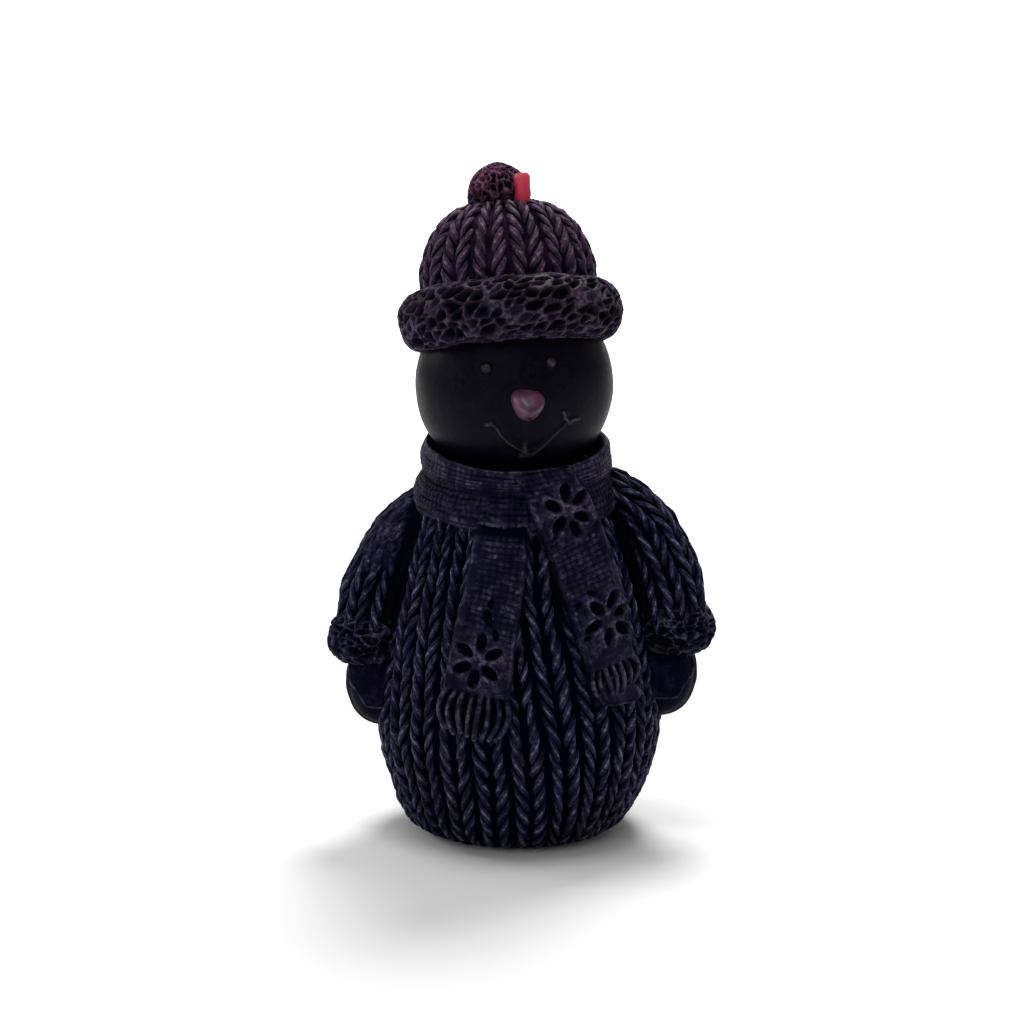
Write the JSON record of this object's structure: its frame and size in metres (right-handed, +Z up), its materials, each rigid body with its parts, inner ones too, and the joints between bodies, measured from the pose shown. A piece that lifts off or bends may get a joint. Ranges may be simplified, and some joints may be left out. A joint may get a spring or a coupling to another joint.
{
  "type": "snowman candle",
  "caption": "Dark wax candle cast as a snowman in knitted sweater, hat and scarf, with a small pink nose and a red coated wick beside the pompom.",
  "frame": {"origin": "centre of the figure's box at the flat base, which is z = 0", "axes": "+Z up through the hat, the face looks along -Y, +X towards the viewer's right, the side of the upper scarf tail"},
  "size_m": [0.0642, 0.0465, 0.11],
  "materials": {
    "dark_wax": "near-black violet wax, satin, with a soft lilac bloom on the raised stitches",
    "pink_wax": "mauve pink wax, satin",
    "wick_coat": "cotton wick dipped in red wax, soft sheen, paler cut end"
  },
  "bodies": {
    "root": {"wax_figure": "dark_wax", "nose": "pink_wax", "wick": "wick_coat"}
  },
  "joints": []
}
